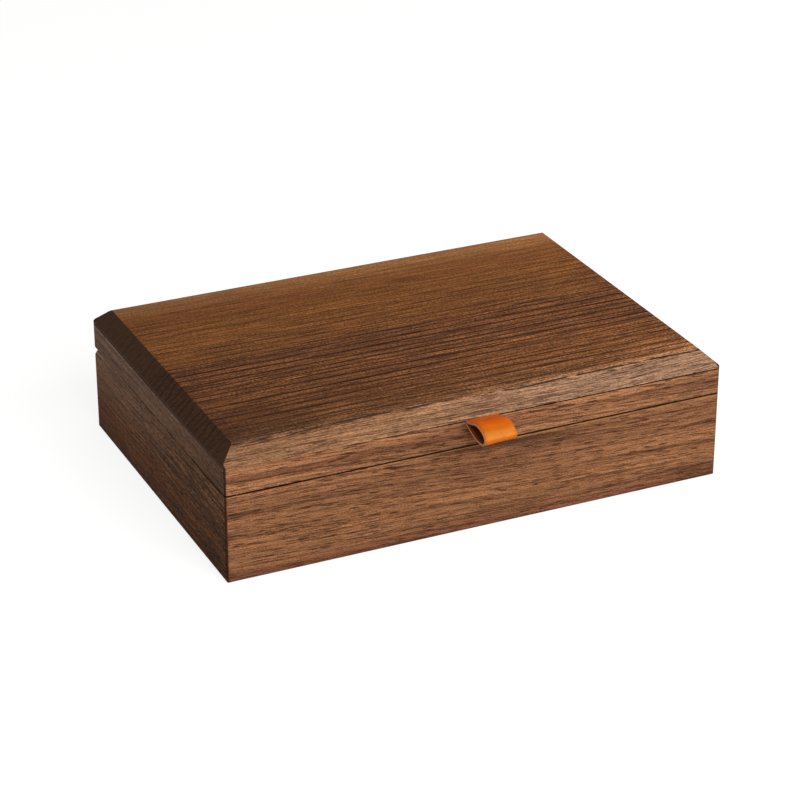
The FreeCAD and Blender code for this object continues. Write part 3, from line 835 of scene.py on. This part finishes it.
# How much smaller a roll is before it is filled, how much too large its cover is cut, the size of its
# mesh, and how much of its foot and of each end is glued.
ROLL_SLACK = 0.6 * MM
ROLL_EASE = 0.05
ROLL_VOXEL = 1.6 * MM
ROLL_FOOT = 0.4 * MM
ROLL_END = 2.0 * MM
# How much larger a roll is while it is simulated, because the solver suits larger things, the length of
# that in frames, the air pressure inside and the stiffness of the cover.
ROLL_SCALE = 20
ROLL_FRAMES = 20
ROLL_PRESSURE = 20.0
ROLL_STIFFNESS = 5.0


def filled(shape, held, limit):
    """Puff a closed shape up in its loose cover, as cloth under air pressure; held points stay."""
    scene = bpy.context.scene
    pad = new_object("slack", shape)
    slack = pad.data
    even = pad.modifiers.new("even", "REMESH")
    even.mode = "VOXEL"
    even.voxel_size = ROLL_VOXEL
    before = bpy.data.meshes.new_from_object(pad.evaluated_get(bpy.context.evaluated_depsgraph_get()))
    pad.modifiers.remove(even)
    pad.data = before
    glued = pad.vertex_groups.new(name="glued")
    glued.add([vert.index for vert in before.vertices if held(vert.co)], 1.0, "REPLACE")
    before.transform(Matrix.Scale(ROLL_SCALE, 4))
    wadding = pad.modifiers.new("wadding", "CLOTH").settings
    wadding.vertex_group_mass = glued.name
    wadding.use_pressure = True
    wadding.uniform_pressure_force = ROLL_PRESSURE
    wadding.tension_stiffness = ROLL_STIFFNESS
    wadding.compression_stiffness = ROLL_STIFFNESS
    wadding.shrink_min = -ROLL_EASE
    wadding.effector_weights.gravity = 0.0
    for moment in range(1, ROLL_FRAMES + 1):
        scene.frame_set(moment)
    after = bpy.data.meshes.new_from_object(pad.evaluated_get(bpy.context.evaluated_depsgraph_get()))
    scene.frame_set(1)
    for vert, start in zip(after.vertices, before.vertices):
        move = (vert.co - start.co) / ROLL_SCALE
        vert.co = start.co / ROLL_SCALE + move.normalized() * min(move.length, limit)
    puffed = bmesh.new()
    puffed.from_mesh(after)
    bpy.data.objects.remove(pad)
    for mesh in (slack, before, after):
        bpy.data.meshes.remove(mesh)
    return puffed


class JEWELRY_BOX_OT_ring_rolls(bpy.types.Operator):
    """Pad the rolls that hold rings between them"""
    bl_idname = "jewelry_box.ring_rolls"
    bl_label = "Ring rolls"

    def execute(self, context):
        for name in sorted(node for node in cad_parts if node.startswith("ring_roll_")):
            low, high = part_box(name)
            radius = (high.y - low.y) / 2
            middle = Vector(((low.x + high.x) / 2, (low.y + high.y) / 2, high.z - radius))
            lying = Matrix.Translation(middle) @ Matrix.Rotation(math.radians(90), 4, "Y")
            shape = bmesh.new()
            bmesh.ops.create_cone(shape, cap_ends=True, segments=ROLL_SIDES, radius1=radius - ROLL_SLACK,
                                  radius2=radius - ROLL_SLACK, depth=high.x - low.x - 2 * ROLL_SLACK,
                                  matrix=lying)
            rims = [edge for edge in shape.edges
                    if any(len(face.verts) == ROLL_SIDES for face in edge.link_faces)]
            rounded(shape, rims, ROLL_ROUNDING, ROLL_STEPS)
            for vert in shape.verts:
                vert.co.z = max(vert.co.z, low.z)
            foot = low.z + ROLL_FOOT
            ends = (low.x + ROLL_END, high.x - ROLL_END)
            shape = filled(shape, lambda at: at.z < foot or not ends[0] < at.x < ends[1], ROLL_SLACK)
            for vert in shape.verts:
                vert.co.z = max(vert.co.z, low.z)
            piece = suede_piece(context, name, shape, "case")
            smooth = piece.modifiers.new("smooth", "SUBSURF")
            smooth.levels = 1
            smooth.render_levels = 1
        return {"FINISHED"}


# Sizes in metres of the patches of tarnish and of the wipe marks on the mirror.
TARNISH = 5 * MM
WIPE = 22 * MM
# Metals: roughness on and between the brush lines, and size of the lines along each axis in millimetres.
BRASS_FINISH = ((0.23, 0.4), (9, 0.3, 0.3))
NICKEL_FINISH = ((0.13, 0.3), (0.5, 0.5, 3))


def metal(name, tint, rough, brush):
    """Brass or plated steel: drawn metal with fine brush lines and slight tarnish."""
    material, tree, shader = new_material(name, {"Metallic": 1.0})
    points = add_node(tree, "TexCoord")["Object"]
    drawn = add_node(tree, "Mapping", {
        "Vector": points, "Scale": [1 / (part * MM) for part in brush]})[0]
    lines = add_node(tree, "TexNoise", {"Vector": drawn, "Scale": 1.0, "Detail": 2.0})["Fac"]
    tarnish = add_node(tree, "TexNoise", {"Vector": points, "Scale": 1 / TARNISH, "Detail": 3.0})["Fac"]
    tone = mottled(tree, tint, tarnish, darkest=0.86, lightest=1.06)
    matt = add_node(tree, "MapRange", {
        "Value": lines, **LEVELS, "To Min": rough[0], "To Max": rough[1]})[0]
    coat(tree, shader, tone, matt, lines, strength=0.15, depth=0.03 * MM)
    return material


class JEWELRY_BOX_OT_fittings(bpy.types.Operator):
    """Give the hinges, screws and magnets their metal"""
    bl_idname = "jewelry_box.fittings"
    bl_label = "Hinges, screws and magnets"

    def execute(self, context):
        settings = context.scene.jewelry_box.fittings
        brass = metal("brushed_brass", settings.brass, *BRASS_FINISH)
        nickel = metal("nickel_plate", settings.nickel, *NICKEL_FINISH)
        for side in ("left", "right"):
            dress(brass, "hinge_%s_case_leaf" % side, "hinge_%s_lid_leaf" % side, "hinge_%s_pin" % side)
        dress(brass, "case_hinge_screws", "lid_hinge_screws")
        dress(nickel, "case_magnets", "lid_magnets")
        return {"FINISHED"}


class JEWELRY_BOX_OT_mirror(bpy.types.Operator):
    """Silver the mirror in the lid"""
    bl_idname = "jewelry_box.mirror"
    bl_label = "Lid mirror"

    def execute(self, context):
        settings = context.scene.jewelry_box.fittings
        # Float glass with a silvered back: a clear reflection, faint wipe marks, a greenish ground edge.
        material, tree, shader = new_material("silvered_glass", {"Metallic": 1.0})
        points = add_node(tree, "TexCoord")
        facing = add_node(tree, "SeparateXYZ", {0: points["Normal"]})[2]
        flat = add_node(tree, "MapRange", {
            "Value": facing, "From Min": -0.95, "From Max": -0.85, "To Min": 1.0, "To Max": 0.0})[0]
        wipes = add_node(tree, "TexNoise", {
            "Vector": points["Object"], "Scale": 1 / WIPE, "Detail": 3.0, "Distortion": 1.5})["Fac"]
        tone = add_node(tree, "Mix", {
            0: flat, 6: settings.glass_edge, 7: settings.silver}, data_type="RGBA")[2]
        matt = add_node(tree, "MapRange", {
            "Value": wipes, "From Min": 0.35, "From Max": 0.7, "To Min": 0.015, "To Max": 0.05})[0]
        tree.links.new(tone, shader.inputs["Base Color"])
        tree.links.new(matt, shader.inputs["Roughness"])
        dress(material, "lid_mirror")
        return {"FINISHED"}


# Floor: half its length and how far it lies under the box, in metres, and its glow.
FLOOR_HALF = 6.0
FLOOR_DROP = 0.2 * MM
FLOOR_GLOW = 0.84
# Upward share of a direction over which the walls fade into the ceiling.
WALL_FADE = {"From Min": 0.14, "From Max": 0.45}
# Key light: its size, its place and the point it looks at, in metres.
KEY_SIZE = 1.4
KEY_PLACE = (0.3, -1.38, 0.84)
KEY_AIM = (0, 0, 0.03)
# Width of the camera's sensor in millimetres.
SENSOR = 36.0


def seen_directly(tree):
    """1 for rays from the camera, from reflections and through glass, else 0."""
    path = add_node(tree, "LightPath")
    pair = add_node(tree, "Math", {
        0: path["Is Camera Ray"], 1: path["Is Glossy Ray"]}, operation="MAXIMUM")[0]
    return add_node(tree, "Math", {0: pair, 1: path["Is Transmission Ray"]}, operation="MAXIMUM")[0]


class JEWELRY_BOX_OT_stage(bpy.types.Operator):
    """Set the pale floor, the soft light and the camera"""
    bl_idname = "jewelry_box.stage"
    bl_label = "Stage"

    def execute(self, context):
        settings = context.scene.jewelry_box.stage
        scene = context.scene
        shape = bmesh.new()
        bmesh.ops.create_grid(shape, x_segments=1, y_segments=1, size=FLOOR_HALF,
                              matrix=Matrix.Translation((0, 0, -FLOOR_DROP)))
        floor = new_object("floor", shape)
        # Matt paper: it takes the shadow, and glows to white for the camera and for reflections.
        material, tree, shader = new_material("matt_paper", {
            "Base Color": (*settings.floor, 1.0), "Roughness": 1.0, "Specular IOR Level": 0.0,
            "Emission Color": (1, 1, 1, 1)})
        glow = add_node(tree, "Math", {0: seen_directly(tree), 1: FLOOR_GLOW}, operation="MULTIPLY")[0]
        tree.links.new(glow, shader.inputs["Emission Strength"])
        floor.data.materials.append(material)

        world = bpy.data.worlds.new("studio")
        scene.world = world
        world.use_nodes = True
        tree = world.node_tree
        # Pale studio walls round the horizon under a dimmer ceiling, for the camera and for reflections.
        way = add_node(tree, "TexCoord")["Generated"]
        upward = add_node(tree, "SeparateXYZ", {0: way})[2]
        walls = add_node(tree, "MapRange", {
            "Value": upward, **WALL_FADE, "To Min": 1.0, "To Max": settings.ambient},
            interpolation_type="SMOOTHSTEP")[0]
        strength = add_node(tree, "Mix", {
            0: seen_directly(tree), 2: settings.ambient, 3: walls}, data_type="FLOAT")[0]
        tree.nodes["Background"].inputs["Color"].default_value = (1, 1, 1, 1)
        tree.links.new(strength, tree.nodes["Background"].inputs["Strength"])

        key = bpy.data.lights.new("key", "AREA")
        key.shape = "SQUARE"
        key.size = KEY_SIZE
        key.energy = settings.key_power
        lamp = bpy.data.objects.new("key", key)
        lamp.location = KEY_PLACE
        lamp.rotation_euler = (Vector(KEY_AIM) - lamp.location).to_track_quat("-Z", "Y").to_euler()
        scene.collection.objects.link(lamp)

        camera = bpy.data.cameras.new("camera")
        camera.lens = settings.lens
        camera.sensor_width = SENSOR
        eye = bpy.data.objects.new("camera", camera)
        eye.location = settings.camera_place
        eye.rotation_euler = settings.camera_turn
        scene.collection.objects.link(eye)
        scene.camera = eye
        scene.view_settings.view_transform = "Standard"
        return {"FINISHED"}


STEPS = (
    JEWELRY_BOX_OT_walnut, JEWELRY_BOX_OT_pull_tab, JEWELRY_BOX_OT_lining, JEWELRY_BOX_OT_lid_lining,
    JEWELRY_BOX_OT_dividers, JEWELRY_BOX_OT_ring_rolls, JEWELRY_BOX_OT_fittings, JEWELRY_BOX_OT_mirror,
    JEWELRY_BOX_OT_stage)


class JEWELRY_BOX_PT_sidebar(bpy.types.Panel):
    """Lists the steps that dress the jewelry box"""
    bl_idname = "JEWELRY_BOX_PT_sidebar"
    bl_label = "Jewelry box"
    bl_space_type = "VIEW_3D"
    bl_region_type = "UI"
    bl_category = "Jewelry box"

    def draw(self, context):
        for step in STEPS:
            self.layout.operator(step.bl_idname)


CLASSES = (JEWELRY_BOX_PG_walnut, JEWELRY_BOX_PG_leather, JEWELRY_BOX_PG_lining, JEWELRY_BOX_PG_fittings,
           JEWELRY_BOX_PG_stage, JEWELRY_BOX_PG_settings, *STEPS, JEWELRY_BOX_PT_sidebar)


def register():
    for item in CLASSES:
        bpy.utils.register_class(item)
    bpy.types.Scene.jewelry_box = group(
        "Jewelry box", "Settings of the jewelry box", JEWELRY_BOX_PG_settings)


def unregister():
    del bpy.types.Scene.jewelry_box
    for item in reversed(CLASSES):
        bpy.utils.unregister_class(item)


def main():
    register()
    bpy.ops.jewelry_box.walnut()
    bpy.ops.jewelry_box.pull_tab()
    bpy.ops.jewelry_box.lining()
    bpy.ops.jewelry_box.lid_lining()
    bpy.ops.jewelry_box.dividers()
    bpy.ops.jewelry_box.ring_rolls()
    bpy.ops.jewelry_box.fittings()
    bpy.ops.jewelry_box.mirror()
    bpy.ops.jewelry_box.stage()


if __name__ == "__main__":
    main()
